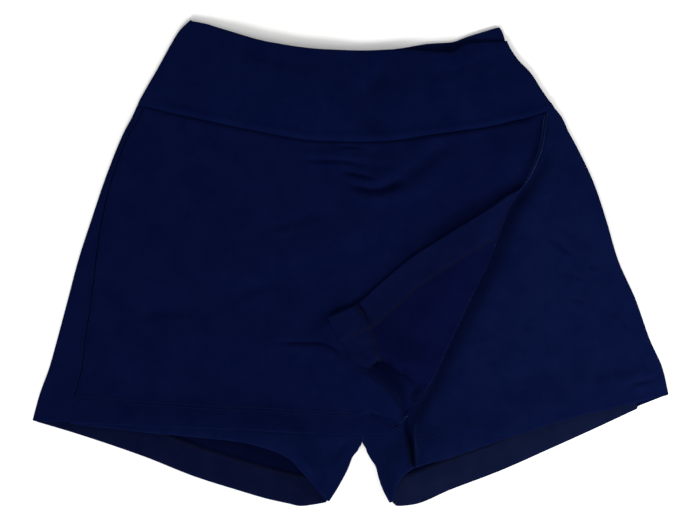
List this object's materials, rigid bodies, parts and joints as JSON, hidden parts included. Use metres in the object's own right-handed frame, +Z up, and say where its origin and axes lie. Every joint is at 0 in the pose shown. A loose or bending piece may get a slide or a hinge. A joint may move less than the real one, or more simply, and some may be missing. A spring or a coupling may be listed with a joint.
{
  "type": "stretch shorts with a front flap",
  "caption": "Stretch shorts laid flat, with a wide waistband and a full front flap whose free lower corner is turned back.",
  "frame": {"origin": "the middle of the garment's outline, on the surface it lies on", "axes": "+X across the garment to the viewer's right, +Y towards the waistband, +Z up off the surface"},
  "size_m": [0.5409, 0.4132, 0.0148],
  "materials": {
    "waistband": "matte stretch knit",
    "waistband_inside": "matte stretch knit",
    "leg": "matte stretch knit",
    "leg_back": "matte stretch knit",
    "flap": "matte stretch knit"
  },
  "bodies": {
    "root": {"waistband_front": "waistband", "waistband_back": "waistband_inside", "front_left": "leg", "front_right": "leg", "back_left": "leg_back", "back_right": "leg_back", "front_flap": "flap"}
  },
  "joints": []
}
